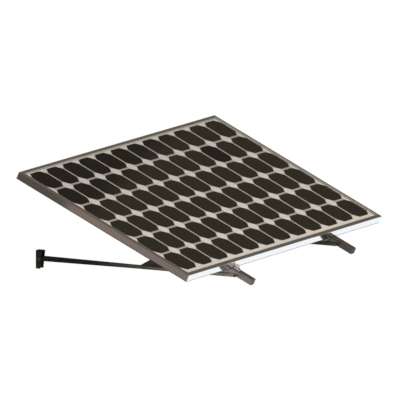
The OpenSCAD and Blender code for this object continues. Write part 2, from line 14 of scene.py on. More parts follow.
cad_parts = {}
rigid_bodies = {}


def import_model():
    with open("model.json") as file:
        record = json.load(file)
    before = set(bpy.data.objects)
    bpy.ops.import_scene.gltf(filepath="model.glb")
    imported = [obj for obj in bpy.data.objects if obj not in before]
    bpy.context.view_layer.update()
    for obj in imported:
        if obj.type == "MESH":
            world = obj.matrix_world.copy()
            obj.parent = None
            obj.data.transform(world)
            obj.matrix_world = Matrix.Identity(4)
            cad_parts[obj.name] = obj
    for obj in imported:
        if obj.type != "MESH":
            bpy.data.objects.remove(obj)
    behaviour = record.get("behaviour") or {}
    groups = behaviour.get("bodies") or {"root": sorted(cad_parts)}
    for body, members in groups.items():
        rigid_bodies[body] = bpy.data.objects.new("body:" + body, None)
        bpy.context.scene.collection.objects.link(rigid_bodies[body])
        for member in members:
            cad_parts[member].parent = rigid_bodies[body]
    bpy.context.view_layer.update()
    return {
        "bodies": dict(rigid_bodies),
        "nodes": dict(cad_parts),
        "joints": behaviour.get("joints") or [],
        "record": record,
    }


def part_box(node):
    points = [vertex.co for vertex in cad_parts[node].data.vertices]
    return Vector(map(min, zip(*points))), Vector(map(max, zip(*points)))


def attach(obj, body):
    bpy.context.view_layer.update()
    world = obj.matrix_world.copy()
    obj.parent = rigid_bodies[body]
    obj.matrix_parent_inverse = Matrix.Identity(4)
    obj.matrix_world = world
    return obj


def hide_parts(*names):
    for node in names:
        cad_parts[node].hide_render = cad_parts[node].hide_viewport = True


LOG = logging.getLogger("wall_mount")
MM = 0.001
ROOT = "root"
FRAME_SIDES = ("frame_front", "frame_rear", "frame_left", "frame_right")
RAILS = ("rail_left", "rail_right")
ACROSS = (1, 0, 0)
OUTWARDS = (0, -1, 0)

Colour = tuple[float, float, float]
Direction = tuple[float, float, float]
Socket = bpy.types.NodeSocket
Term = Union[Socket, float, Sequence[float]]


class Grain(Enum):
    """How the fine streaks of a surface run."""

    NONE = "none"
    ALONG_SLOPE = "along_slope"


def towards(azimuth: float, elevation: float) -> Vector:
    """Unit vector from the object towards a place in the room.

    Args:
        azimuth: direction in degrees, with 0 straight out from the wall and 90 to the right.
        elevation: degrees above the horizon.

    Returns:
        The vector.
    """
    a, e = math.radians(azimuth), math.radians(elevation)
    return Vector((math.sin(a) * math.cos(e), -math.cos(a) * math.cos(e), math.sin(e)))


def span(
    frame: dict, names: Sequence[str], axis: Union[Vector, Direction]
) -> tuple[float, float]:
    """Measures how far some nodes reach along a direction.

    Args:
        names: the nodes' names.
        axis: unit vector of the direction.

    Returns:
        The least and the greatest reach, in metres.
    """
    axis = Vector(axis)
    reach = [axis.dot(v.co) for name in names for v in frame["nodes"][name].data.vertices]
    return min(reach), max(reach)


@dataclass(frozen=True)
class Slope:
    """The module's own directions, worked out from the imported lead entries.

    Attributes:
        down: unit vector down the slope, away from the wall.
        up: unit vector square to the glass.
        angle: angle of the module from level, in radians.
    """

    down: Vector
    up: Vector
    angle: float

    @classmethod
    def from_record(cls, record: dict) -> "Slope":
        """Reads the slope from the axis of the module's lead entries.

        Args:
            record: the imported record.

        Returns:
            The slope.
        """
        axis = next(m["axis"] for m in record["mounts"] if m["name"] == "lead_gland_left")
        down = Vector(axis).normalized()
        up = down.cross(Vector((-1, 0, 0))).normalized()
        if up.z < 0:
            up.negate()
        return cls(down=down, up=up, angle=math.atan2(-down.z, -down.y))


@dataclass(frozen=True)
class Fade:
    """A second colour that takes over along a direction.

    Attributes:
        colour: the second colour.
        axis: direction along which it takes over.
        start: where it begins, in metres along the axis.
        end: where it has taken over.
        ragged: how far the border wanders, in metres.
        grain: size of the border's waves, in metres.
    """

    colour: Colour
    axis: Direction
    start: float
    end: float
    ragged: float = 0.0
    grain: float = 0.05


class Nodes:
    """A node tree, with short calls for the nodes that it needs."""

    def __init__(self, tree: bpy.types.NodeTree) -> None:
        """Takes the tree of a material or a world and empties it."""
        self.tree = tree
        tree.nodes.clear()

    def add(self, kind: str, **settings: object) -> bpy.types.Node:
        """Adds a node.

        Args:
            kind: the node's type name, without its ShaderNode prefix.
            settings: the node's own properties.

        Returns:
            The node.
        """
        node = self.tree.nodes.new("ShaderNode" + kind)
        for key, value in settings.items():
            setattr(node, key, value)
        return node

    def link(self, source: Socket, target: Socket) -> None:
        """Joins two sockets."""
        self.tree.links.new(source, target)

    def feed(self, target: Socket, term: Term) -> None:
        """Joins a socket to an input, or sets the input to a number or vector.

        Args:
            target: the input.
            term: the socket, number or vector.
        """
        if isinstance(term, bpy.types.NodeSocket):
            self.link(term, target)
        else:
            target.default_value = term

    def math(self, operation: str, *terms: Term) -> Socket:
        """Adds a sum on numbers.

        Args:
            operation: what it does with them.
            terms: sockets or numbers.

        Returns:
            The result's socket.
        """
        node = self.add("Math", operation=operation)
        for target, term in zip(node.inputs, terms):
            self.feed(target, term)
        return node.outputs[0]

    def vector(self, operation: str, *terms: Term) -> Socket:
        """Adds a sum on vectors.

        Args:
            operation: what it does with them.
            terms: sockets or vectors, and the number to scale by.

        Returns:
            The result's socket, a number for a product or a distance.
        """
        node = self.add("VectorMath", operation=operation)
        scaled = operation == "SCALE"
        targets = (node.inputs[0], node.inputs["Scale"]) if scaled else node.inputs
        for target, term in zip(targets, terms):
            self.feed(target, term)
        number = operation in ("DOT_PRODUCT", "DISTANCE")
        return node.outputs["Value" if number else "Vector"]

    def split(self, vector: Socket) -> bpy.types.bpy_prop_collection:
        """Parts a vector.

        Args:
            vector: the vector.

        Returns:
            The sockets X, Y and Z.
        """
        node = self.add("SeparateXYZ")
        self.link(vector, node.inputs[0])
        return node.outputs

    def ramp(
        self,
        value: Socket,
        source: tuple[float, float],
        target: tuple[float, float],
        smooth: bool = False,
    ) -> Socket:
        """Maps a range of a value onto another one, and holds it at the ends.

        Args:
            value: the value.
            source: where the range starts and ends.
            target: the results there.
            smooth: whether the ends are rounded off.

        Returns:
            The result's socket.
        """
        node = self.add("MapRange", interpolation_type="SMOOTHSTEP" if smooth else "LINEAR")
        names = ("From Min", "From Max", "To Min", "To Max")
        for name, number in zip(names, source + target):
            node.inputs[name].default_value = number
        self.link(value, node.inputs["Value"])
        return node.outputs["Result"]

    def either(self, factor: Socket, first: Socket, second: Socket) -> Socket:
        """Mixes two shaders.

        Args:
            factor: 0 for the first shader and 1 for the second.
            first: the first shader.
            second: the second shader.

        Returns:
            The mixed shader's socket.
        """
        node = self.add("MixShader")
        for target, source in zip(node.inputs, (factor, first, second)):
            self.link(source, target)
        return node.outputs[0]


class Shader(Nodes):
    """A material's node tree."""

    NOISE_MIDDLE = (0.3, 0.7)

    def __init__(self, name: str) -> None:
        """Starts an empty material.

        Args:
            name: the material's name.
        """
        self.material = bpy.data.materials.new(name)
        self.material.use_nodes = True
        super().__init__(self.material.node_tree)
        self.output = self.add("OutputMaterial")

    def surface(self, socket: Socket) -> bpy.types.Material:
        """Joins a shader to the output, which finishes the material."""
        self.link(socket, self.output.inputs["Surface"])
        return self.material

    def principled(self, values: dict[str, Term]) -> bpy.types.Node:
        """Adds the general surface shader.

        Args:
            values: values of its sockets by name.

        Returns:
            The node.
        """
        node = self.add("BsdfPrincipled")
        for name, value in values.items():
            node.inputs[name].default_value = value
        return node

    def diffuse(self, colour: Colour) -> Socket:
        """Adds a matt shader of one colour.

        Args:
            colour: the colour.

        Returns:
            The shader's socket.
        """
        node = self.add("BsdfDiffuse")
        node.inputs["Color"].default_value = (*colour, 1)
        return node.outputs[0]

    def here(self) -> Socket:
        """Object coordinates."""
        return self.add("TexCoord").outputs["Object"]

    def stretched(self, scale: Sequence[float], turn: Sequence[float]) -> Socket:
        """Object coordinates, turned and then scaled.

        Args:
            scale: scale along each axis.
            turn: rotation in radians.

        Returns:
            The vector socket.
        """
        mapping = self.add("Mapping", vector_type="TEXTURE")
        mapping.inputs["Rotation"].default_value = turn
        mapping.inputs["Scale"].default_value = [1 / s for s in scale]
        self.link(self.here(), mapping.inputs["Vector"])
        return mapping.outputs["Vector"]

    def noise(self, vector: Socket, scale: float, detail: float) -> Socket:
        """Noise from 0 to 1.

        Args:
            vector: where the noise is read.
            scale: noise scale, per metre.
            detail: octaves.

        Returns:
            The value socket.
        """
        node = self.add("TexNoise")
        node.inputs["Scale"].default_value = scale
        node.inputs["Detail"].default_value = detail
        self.link(vector, node.inputs["Vector"])
        return node.outputs["Fac"]

    def between(self, value: Socket, low: float, high: float) -> Socket:
        """Maps the middle of a noise onto the range from low to high."""
        return self.ramp(value, self.NOISE_MIDDLE, (low, high))

    def blend(
        self, factor: Socket, first: Union[Socket, Colour], second: Union[Socket, Colour]
    ) -> Socket:
        """Mixes two colours.

        Args:
            factor: 0 for the first colour and 1 for the second.
            first: the first colour.
            second: the second colour.

        Returns:
            The colour socket.
        """
        node = self.add("Mix", data_type="RGBA")
        self.link(factor, node.inputs["Factor"])
        targets = (s for s in node.inputs if s.type == "RGBA")
        for target, colour in zip(targets, (first, second)):
            is_socket = isinstance(colour, bpy.types.NodeSocket)
            self.feed(target, colour if is_socket else (*colour, 1))
        return next(s for s in node.outputs if s.type == "RGBA")

    def fade(self, colour: Socket, fade: Fade) -> Socket:
        """Lets a second colour take over along a direction.

        Args:
            colour: the colour before the start.
            fade: the second colour and where it takes over.

        Returns:
            The colour socket.
        """
        along = self.vector("DOT_PRODUCT", self.here(), fade.axis)
        waves = self.noise(self.here(), 1 / fade.grain, detail=2)
        border = self.math("MULTIPLY_ADD", waves, fade.ragged, along)
        half = fade.ragged / 2
        share = self.ramp(border, (fade.start + half, fade.end + half), (0, 1), smooth=True)
        return self.blend(share, colour, fade.colour)


@dataclass(frozen=True)
class CellGrid:
    """Where the cells lie.

    Attributes:
        slope: the module's directions, in which the cells lie.
        origin: middle of the first cell, at the rear left.
        pitch: distance between neighbouring cells, in metres.
        columns: number of cells along the wall.
        rows: number of cells down the slope.
    """

    slope: Slope
    origin: Vector
    pitch: float = 128 * MM
    columns: int = 12
    rows: int = 6

    @classmethod
    def measured(cls, slope: Slope) -> "CellGrid":
        """Works out where the cells lie from the node of all the cells.

        Args:
            slope: the module's directions.

        Returns:
            The grid.
        """
        low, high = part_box("solar_cells")
        middle = (Vector(low) + Vector(high)) / 2
        left = Vector((-(cls.columns - 1) / 2 * cls.pitch, 0, 0))
        rear = slope.down * ((cls.rows - 1) / 2 * cls.pitch)
        return cls(slope, middle + left - rear)

    def coordinates(self, shader: Shader) -> Socket:
        """Coordinates that count the cells, with whole numbers half-way between them.

        Args:
            shader: the node tree.

        Returns:
            The vector socket.
        """
        shift = shader.vector("SUBTRACT", shader.here(), self.origin)
        turned = shader.add("VectorRotate", rotation_type="X_AXIS")
        turned.inputs["Angle"].default_value = -self.slope.angle
        shader.link(shift, turned.inputs["Vector"])
        steps = shader.vector("SCALE", turned.outputs[0], 1 / self.pitch)
        return shader.vector("ADD", steps, (0.5, 0.5, 0))


class Dress(Protocol):
    """Anything that makes a material."""

    def material(self, slope: Slope) -> bpy.types.Material:
        """Builds the material for a module with these directions."""


@dataclass(frozen=True)
class Finish:
    """The finish of a metal, painted or plastic surface.

    Attributes:
        name: the material's name.
        colour: its usual colour.
        shade: its darker colour in patches.
        roughness: lowest and highest roughness.
        metallic: 1 for bare metal and 0 for paint or plastic.
        specular: specular level of paint or plastic.
        patch: size of the patches, in metres.
        grain: direction of the fine streaks.
        fades: second colours that take over towards one end or edge.
        relief: number of bumps of the fine relief in a metre.
        depth: its depth, in metres.
        strength: how strongly it shows.
        streak: how much the relief is drawn out along the grain.
    """

    name: str
    colour: Colour
    shade: Colour
    roughness: tuple[float, float]
    metallic: float = 0.0
    specular: float = 0.5
    patch: float = 0.12
    grain: Grain = Grain.NONE
    fades: tuple[Fade, ...] = ()
    relief: float = 900
    depth: float = 0.02 * MM
    strength: float = 0.6
    streak: float = 50

    def toned(self, shader: Shader, colour: Socket) -> Socket:
        """Leaves the colour as it is; a finish with a pattern or painted shade of its own adds it
        here.
        """
        return colour

    def material(self, slope: Slope) -> bpy.types.Material:
        """Builds the material.

        Args:
            slope: the module's directions, for streaks along a rail.

        Returns:
            The material.
        """
        shader = Shader(self.name)
        surface = shader.principled(
            {"Metallic": self.metallic, "Specular IOR Level": self.specular}
        )
        patches = shader.noise(shader.here(), 1 / self.patch, detail=4)
        colour = shader.blend(shader.between(patches, 0, 1), self.colour, self.shade)
        for fade in self.fades:
            colour = shader.fade(colour, fade)
        shader.link(self.toned(shader, colour), surface.inputs["Base Color"])
        stretches = {
            Grain.NONE: ((1, 1, 1), (0, 0, 0)),
            Grain.ALONG_SLOPE: ((1, 1 / self.streak, 1), (slope.angle, 0, 0)),
        }
        drawn_out = shader.stretched(*stretches[self.grain])
        relief = shader.noise(drawn_out, self.relief, detail=2)
        shader.link(shader.between(relief, *self.roughness), surface.inputs["Roughness"])
        bump = shader.add("Bump")
        bump.inputs["Distance"].default_value = self.depth
        bump.inputs["Strength"].default_value = self.strength
        shader.link(relief, bump.inputs["Height"])
        shader.link(bump.outputs["Normal"], surface.inputs["Normal"])
        return shader.surface(surface.outputs["BSDF"])


@dataclass(frozen=True, kw_only=True)
class PaintedGapShadeFinish(Finish):
    """The sheet behind the cells, with painted shade that makes the narrow gaps darker than where
    four gaps meet.

    Attributes:
        cells: where the cells lie.
        painted_gap_shade: the narrow gaps' share of the sheet's brightness under the painted shade.
        crossing: where a crossing ends and where the narrow gap has begun, in pitches from it.
        edge: how far inside the field's border the shading ends, in pitches.
    """

    cells: CellGrid
    painted_gap_shade: float = 0.57
    crossing: tuple[float, float] = (0.12, 0.27)
    edge: float = 0.04

    def toned(self, shader: Shader, colour: Socket) -> Socket:
        """Paints shade into the narrow gaps inside the field of cells.

        Args:
            shader: the node tree.
            colour: the sheet's colour.

        Returns:
            The colour socket.
        """
        grid = self.cells.coordinates(shader)
        half = (self.cells.columns / 2, self.cells.rows / 2)
        offset = shader.vector("SUBTRACT", grid, (half[0], 1 - half[1], 0))
        field = (half[0] - self.edge, half[1] - self.edge, 0)
        past = shader.split(shader.vector("SUBTRACT", shader.vector("ABSOLUTE", offset), field))
        outside = shader.math("GREATER_THAN", shader.math("MAXIMUM", past["X"], past["Y"]), 0)
        part = shader.split(shader.vector("FRACTION", grid))
        away = (shader.math("PINGPONG", part[axis], 0.5) for axis in "XY")
        far = shader.math("MAXIMUM", *away)
        # Painted shade: the narrow gaps darkened, as the cells beside them shade them; the crossings
        # and the margins keep the sheet's colour.
        light = shader.ramp(far, self.crossing, (1, self.painted_gap_shade), smooth=True)
        return shader.vector("SCALE", colour, shader.math("MAXIMUM", light, outside))


@dataclass(frozen=True)
class GlassFinish:
    """Front glass with a finely textured, anti-reflective face.

    Attributes:
        name: the material's name.
        tint: colour of the light that comes through.
        roughness: roughness of its faces.
        ior: index at which its reflection is as weak as the anti-reflective face's.
        specular: its specular level.
    """

    name: str = "front_glass"
    tint: Colour = (0.97, 0.98, 0.97)
    roughness: float = 0.02
    ior: float = 1.2
    specular: float = 0.12

    def material(self, slope: Slope) -> bpy.types.Material:
        """Builds a glass that lets the lamps' light through to the cells.

        Args:
            slope: the module's directions, which this finish doesn't need.

        Returns:
            The material.
        """
        shader = Shader(self.name)
        glass = shader.principled(
            {
                "Base Color": (*self.tint, 1),
                "Roughness": self.roughness,
                "IOR": self.ior,
                "Transmission Weight": 1,
                "Specular IOR Level": self.specular,
            }
        )
        clear = shader.add("BsdfTransparent")
        path = shader.add("LightPath").outputs
        lit = shader.math("MAXIMUM", path["Is Shadow Ray"], path["Is Diffuse Ray"])
        return shader.surface(shader.either(lit, glass.outputs["BSDF"], clear.outputs["BSDF"]))


@dataclass(frozen=True)
class CellFinish:
    """Dark silicon, each cell a little lighter or darker than the next.

    Attributes:
        name: the material's name.
        cells: where the cells lie.
        colour: colour of the lightest cells.
        shade: colour of the darkest of the usual cells.
        corner: colour of the cells at the rear left corner.
        corner_reach: where that colour ends and where it is full, in rows from the first cell.
        corner_lean: how many rows one column counts for in that reach.
        corner_waves: how far that colour's border wanders, in metres.
        odd: column and row of the one cell that is darker than its neighbours.
        odd_colour: that cell's colour.
        roughness: roughness of the silicon.
        specular: its specular level.
    """

    name: str
    cells: CellGrid
    colour: Colour = (0.0204, 0.0183, 0.0117)
    shade: Colour = (0.0190, 0.0170, 0.0109)
    corner: Colour = (0.0075, 0.0065, 0.0041)
    corner_reach: tuple[float, float] = (2.1875, 1.25)
    corner_lean: float = 0.25
    corner_waves: float = 20 * MM
    odd: tuple[int, int] = (9, 1)
    odd_colour: Colour = (0.0067, 0.0057, 0.0036)
    roughness: float = 0.5
    specular: float = 0.05

    def _corner_fade(self) -> Fade:
        """Works out where the darker cells at the rear left corner begin.

        Returns:
            The fade to their colour.
        """
        rear_left = -(self.cells.slope.down + Vector((self.corner_lean, 0, 0)))
        start, end = (
            rear_left.dot(self.cells.origin) - reach * self.cells.pitch
            for reach in self.corner_reach
        )
        return Fade(self.corner, tuple(rear_left), start, end, self.corner_waves)

    def material(self, slope: Slope) -> bpy.types.Material:
        """Builds the material.

        Args:
            slope: the module's directions, which the grid of cells already holds.

        Returns:
            The material.
        """
        shader = Shader(self.name)
        surface = shader.principled(
            {"Roughness": self.roughness, "Specular IOR Level": self.specular}
        )
        whole = shader.vector("FLOOR", self.cells.coordinates(shader))
        per_cell = shader.add("TexWhiteNoise", noise_dimensions="2D")
        shader.link(whole, per_cell.inputs["Vector"])
        usual = shader.blend(per_cell.outputs["Value"], self.colour, self.shade)
        usual = shader.fade(usual, self._corner_fade())
        flat = shader.vector("MULTIPLY", whole, (1, 1, 0))
        away = shader.vector("DISTANCE", flat, (self.odd[0], -self.odd[1], 0))
        is_odd = shader.math("LESS_THAN", away, 0.5)
        colour = shader.blend(is_odd, usual, self.odd_colour)
        shader.link(colour, surface.inputs["Base Color"])
        return shader.surface(surface.outputs["BSDF"])


def add_object(
    name: str, mesh: bmesh.types.BMesh, material: bpy.types.Material
) -> bpy.types.Object:
    """Makes an object of a finished mesh.

    Args:
        name: the object's name.
        mesh: its mesh, which this call frees.
        material: its finish.

    Returns:
        The object.
    """
    data = bpy.data.meshes.new(name)
    mesh.to_mesh(data)
    mesh.free()
    data.materials.append(material)
    made = bpy.data.objects.new(name, data)
    bpy.context.scene.collection.objects.link(made)
    return made


def link_piece(
    name: str, mesh: bmesh.types.BMesh, material: bpy.types.Material
) -> bpy.types.Object:
    """Makes a piece that rides on the root body.

    Args:
        name: the piece's name.
        mesh: its mesh, which this call frees.
        material: its finish.

    Returns:
        The piece.
    """
    piece = add_object(name, mesh, material)
    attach(piece, ROOT)
    return piece


@dataclass(frozen=True)
class View:
    """The camera that repeats the photograph's parallel view.

    Attributes:
        azimuth: direction of the camera, in degrees.
        elevation: its height above the horizon, in degrees.
        distance: how far it stands from the frame's middle, in metres.
        right: how far the frame's middle lies right of the origin, in metres.
        up: how far it lies above the origin, in metres.
        lens: focal length in millimetres, long enough for a nearly parallel view.
        clip: nearest and farthest distance that it shows, in metres.
    """

    azimuth: float = -61.547
    elevation: float = 9.338
    distance: float = 69.0437
    right: float = 0.43323
    up: float = 0.16838
    lens: float = 1600.0
    clip: tuple[float, float] = (1, 400)

    def back(self) -> Vector:
        """Unit vector from the object to the camera."""
        return towards(self.azimuth, self.elevation)

    def build(self) -> None:
        """Makes the camera and takes it for the scene."""
        back = self.back()
        turn = back.to_track_quat("Z", "Y")
        data = bpy.data.cameras.new("camera")
        data.lens = self.lens
        data.clip_start, data.clip_end = self.clip
        camera = bpy.data.objects.new("camera", data)
        bpy.context.scene.collection.objects.link(camera)
        middle = turn @ Vector((self.right, self.up, 0))
        camera.location = middle + back * self.distance
        camera.rotation_mode = "QUATERNION"
        camera.rotation_quaternion = turn
        bpy.context.scene.camera = camera


@dataclass(frozen=True)
class Sun:
    """A lamp that is far off and wide, as a soft studio light is.

    Attributes:
        name: the lamp's name.
        strength: its strength.
        azimuth: direction that it shines from, in degrees.
        elevation: its height above the horizon, in degrees.
        spread: its angular size, in degrees.
        glossy: whether gloss shows it.
    """

    name: str
    strength: float
    azimuth: float
    elevation: float
    spread: float
    glossy: bool = True

    def build(self) -> None:
        """Makes the lamp."""
        data = bpy.data.lights.new(self.name, "SUN")
        data.energy = self.strength
        data.angle = math.radians(self.spread)
        lamp = bpy.data.objects.new(self.name, data)
        bpy.context.scene.collection.objects.link(lamp)
        source = towards(self.azimuth, self.elevation)
        lamp.rotation_euler = source.to_track_quat("Z", "Y").to_euler()
        lamp.visible_glossy = self.glossy


@dataclass(frozen=True)
class Room:
    """The world: white to the camera, and taupe to gloss above the horizon.

    Attributes:
        light: colour of the light that falls on the object from all round.
        strength: strength of that light.
        high: what gloss shows of the room above.
        level: what gloss shows of the room at eye level.
        stops: heights, from 0 below to 1 above, where white ends, and of level and high.
    """

    light: Colour = (1.0, 0.97, 0.93)
    strength: float = 0.5
    high: Colour = (0.134, 0.108, 0.085)
    level: Colour = (0.222, 0.158, 0.128)
    stops: tuple[float, float, float] = (0.32, 0.40, 0.73)

    def build(self) -> None:
        """Makes the world."""
        world = bpy.data.worlds.new("studio")
        bpy.context.scene.world = world
        world.use_nodes = True
        nodes = Nodes(world.node_tree)
        z = nodes.split(nodes.add("TexCoord").outputs["Generated"])["Z"]
        heights = nodes.add("ValToRGB")
        stops = heights.color_ramp.elements
        stops.new(self.stops[-1])
        for stop, place, colour in zip(stops, self.stops, ((1, 1, 1), self.level, self.high)):
            stop.position = place
            stop.color = (*colour, 1)
        nodes.link(nodes.ramp(z, (-1, 1), (0, 1)), heights.inputs["Fac"])
        light, gloss, white = (nodes.add("Background") for _ in range(3))
        light.inputs["Color"].default_value = (*self.light, 1)
        light.inputs["Strength"].default_value = self.strength
        nodes.link(heights.outputs["Color"], gloss.inputs["Color"])
        white.inputs["Color"].default_value = (1, 1, 1, 1)
        path = nodes.add("LightPath").outputs
        shine = nodes.math("MAXIMUM", path["Is Glossy Ray"], path["Is Transmission Ray"])
        seen = nodes.either(shine, light.outputs[0], gloss.outputs[0])
        final = nodes.either(path["Is Camera Ray"], seen, white.outputs[0])
        nodes.link(final, nodes.add("OutputWorld").inputs["Surface"])


@dataclass(frozen=True)
class Floor:
    """Pale floor, which shows as white with a faint shadow and bounces light.

    Attributes:
        height: height of the floor.
        middle: how far its middle lies in front of the wall.
        radius: radius of its disc.
        segments: corners of the disc.
        pale: its colour where its light falls on the object.
        glow: brightness that it shows.
        faint: grey that takes the shadow.
    """

    height: float = -0.55
    middle: float = 0.45
    radius: float = 2.2
    segments: int = 96
    pale: Colour = (0.8, 0.78, 0.75)
    glow: float = 0.94
    faint: Colour = (0.12, 0.12, 0.12)

    def _material(self) -> bpy.types.Material:
        """Makes the floor's material, which is clear from below.

        Returns:
            The material.
        """
        shader = Shader("floor_white")
        glow = shader.add("Emission")
        glow.inputs["Strength"].default_value = self.glow
        white = shader.add("AddShader")
        shader.link(glow.outputs[0], white.inputs[0])
        shader.link(shader.diffuse(self.faint), white.inputs[1])
        path = shader.add("LightPath").outputs
        through = shader.math("MAXIMUM", path["Is Camera Ray"], path["Is Transmission Ray"])
        seen = shader.math("MAXIMUM", through, path["Is Glossy Ray"])
        face = shader.either(seen, shader.diffuse(self.pale), white.outputs[0])
        clear = shader.add("BsdfTransparent").outputs[0]
        below = shader.add("NewGeometry").outputs["Backfacing"]
        return shader.surface(shader.either(below, face, clear))

    def build(self) -> None:
        """Lays the floor."""
        mesh = bmesh.new()
        place = Matrix.Translation((0, -self.middle, self.height))
        bmesh.ops.create_circle(
            mesh, cap_ends=True, radius=self.radius, segments=self.segments, matrix=place
        )
        for face in mesh.faces:
            face.normal_update()
            if face.normal.z < 0:
                face.normal_flip()
        floor = add_object("floor", mesh, self._material())


@dataclass(frozen=True)
class Flag:
    """A dark flag that only shows as a reflection in the frame's left side.

    Attributes:
        slope: the module's directions.
        view: the camera, whose sight the frame's side throws onto the flag.
        colour: what the frame's side shows of it.
        size: its length and height, in metres.
        shift: how far down the slope from the frame's rear corner its middle shows.
        distance: how far it hangs from the frame.
    """

    slope: Slope
    view: View
    colour: Colour = (0.092, 0.074, 0.055)
    size: tuple[float, float] = (0.26, 0.3)
    shift: float = 0.11
    distance: float = 0.6

    def build(self) -> None:
        """Hangs the flag."""
        shader = Shader("flag_dark")
        dim = shader.add("Emission")
        dim.inputs["Color"].default_value = (*self.colour, 1)
        low, high = (Vector(corner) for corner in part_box("frame_left"))
        sight = self.view.back()
        away = Vector((sight.x, -sight.y, -sight.z))
        rear = Vector((low.x, high.y, high.z)) + self.slope.down * self.shift
        across = away.cross(self.slope.down).normalized()
        along = across.cross(away).normalized()
        turn = Matrix((along, across, away)).transposed().to_4x4()
        place = Matrix.Translation(rear + away * self.distance) @ turn
        mesh = bmesh.new()
        bmesh.ops.create_grid(mesh, x_segments=1, y_segments=1, size=0.5)
        bmesh.ops.scale(mesh, vec=(*self.size, 1), verts=mesh.verts)
        bmesh.ops.transform(mesh, matrix=place, verts=mesh.verts)
        flag = add_object("flag", mesh, shader.surface(dim.outputs[0]))
        for kind in ("camera", "diffuse", "shadow", "transmission"):
            setattr(flag, "visible_" + kind, False)


@dataclass(frozen=True)
class Studio:
    """White studio: the room's light, the floor, the lamps and the flag.

    Attributes:
        slope: the module's directions.
        view: the camera.
        suns: the lamps.
    """

    slope: Slope
    view: View
    suns: tuple[Sun, ...] = (
        Sun("key", 1.5, -40, 50, 18),
        Sun("fill", 1.2, -100, 5, 30, glossy=False),
    )

    def build(self) -> None:
        """Makes the world, the floor, the lamps and the flag."""
        Room().build()
        Floor().build()
        for sun in self.suns:
            sun.build()
        Flag(self.slope, self.view).build()


@dataclass
class Pane:
    """The front glass, which takes the cells' faces into it, as glass bonded to them does.

    Attributes:
        slope: the module's directions.
        bond: how far its underside reaches past the cells' faces, in metres.
    """

    frame: dict
    slope: Slope
    bond: float = 0.05 * MM

    def build(self, material: bpy.types.Material) -> bpy.types.Object:
        """Makes the pane and takes the node's place with it.

        Args:
            material: the glass.

        Returns:
            The pane.
        """
        mesh = bmesh.new()
        mesh.from_mesh(self.frame["nodes"]["glass"].data)
        heights = [self.slope.up.dot(v.co) for v in mesh.verts]
        middle = (min(heights) + max(heights)) / 2
        lower = [v for v, height in zip(mesh.verts, heights) if height < middle]
        bmesh.ops.translate(mesh, verts=lower, vec=self.slope.up * -self.bond)
        pane = link_piece("front_pane", mesh, material)
        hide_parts("glass")
        return pane


@dataclass
class RailPlugs:
    """Moulded plugs that close the four ends of the rails.

    Attributes:
        slope: the module's directions.
        wall: the rails' wall, which the plugs fit between, in metres.
        play: gap between plug and wall, and how far the face lies in from the rail's end.
        depth: how far a plug reaches into its rail.
        corner: radius of a plug's corners.
        rim: width of the raised rim on its face.
        dish: how far the middle of the face lies back.
    """

    frame: dict
    slope: Slope
    wall: float = 2 * MM
    play: float = 0.15 * MM
    depth: float = 9 * MM
    corner: float = 1.2 * MM
    rim: float = 2.4 * MM
    dish: float = 0.7 * MM

    @staticmethod
    def _round(
        mesh: bmesh.types.BMesh, edges: list[bmesh.types.BMEdge], radius: float, segments: int
    ) -> None:
        """Rounds some edges.

        Args:
            mesh: the mesh.
            edges: the edges.
            radius: how far the rounding reaches.
            segments: its number of steps.
        """
        bmesh.ops.bevel(
            mesh,
            geom=edges,
            offset=radius,
            segments=segments,
            profile=0.5,
            affect="EDGES",
            material=-1,
        )

    def _plug(self, width: float, height: float) -> bmesh.types.BMesh:
        """Makes a plug with its face towards -Y and the face's middle at the origin.

        Args:
            width: clear width inside the rail.
            height: clear height inside the rail.

        Returns:
            The plug's mesh.
        """
        mesh = bmesh.new()
        bmesh.ops.create_cube(mesh, size=1)
        size = (width - 2 * self.play, self.depth, height - 2 * self.play)
        bmesh.ops.scale(mesh, vec=size, verts=mesh.verts)
        bmesh.ops.translate(mesh, verts=mesh.verts, vec=(0, self.depth / 2, 0))
        corners = [
            e for e in mesh.edges if abs(e.verts[0].co.y - e.verts[1].co.y) > self.depth / 2
        ]
        self._round(mesh, corners, self.corner, 4)
        face = min(mesh.faces, key=lambda f: f.calc_center_median().y)
        self._round(mesh, list(face.edges), self.corner / 3, 2)
        face = min(mesh.faces, key=lambda f: (round(f.calc_center_median().y, 6), -f.calc_area()))
        for thickness, depth in ((self.rim, 0), (self.dish, -self.dish)):
            bmesh.ops.inset_individual(mesh, faces=[face], thickness=thickness, depth=depth)
        return mesh

    def _pair(self, rail: str, whole: bmesh.types.BMesh) -> None:
        """Adds the plugs of a rail's two ends.

        Args:
            rail: the rail's node.
            whole: mesh that takes the plugs.
        """
        axes = (ACROSS, self.slope.down, self.slope.up)
        (left, right), (rear, front), (low, high) = (
            span(self.frame, (rail,), axis) for axis in axes
        )
        middle = Vector(((right + left) / 2, 0, 0)) + self.slope.up * ((high + low) / 2)
        tilt = Matrix.Rotation(self.slope.angle, 4, "X")
        ends = (
            (front - self.play, Matrix.Identity(4)),
            (rear + self.play, Matrix.Rotation(math.pi, 4, "Z")),
        )
        for reach, turn in ends:
            plug = self._plug(right - left - 2 * self.wall, high - low - 2 * self.wall)
            place = Matrix.Translation(middle + self.slope.down * reach)
            bmesh.ops.transform(plug, matrix=place @ tilt @ turn, verts=plug.verts)
            part = bpy.data.meshes.new("plug")
            plug.to_mesh(part)
            plug.free()
            whole.from_mesh(part)
            bpy.data.meshes.remove(part)

    def build(self, material: bpy.types.Material) -> bpy.types.Object:
        """Makes the four plugs as one piece.

        Args:
            material: the moulding's finish.

        Returns:
            The piece.
        """
        whole = bmesh.new()
        for rail in RAILS:
            self._pair(rail, whole)
        piece = link_piece("rail_plugs", whole, material)
        return piece


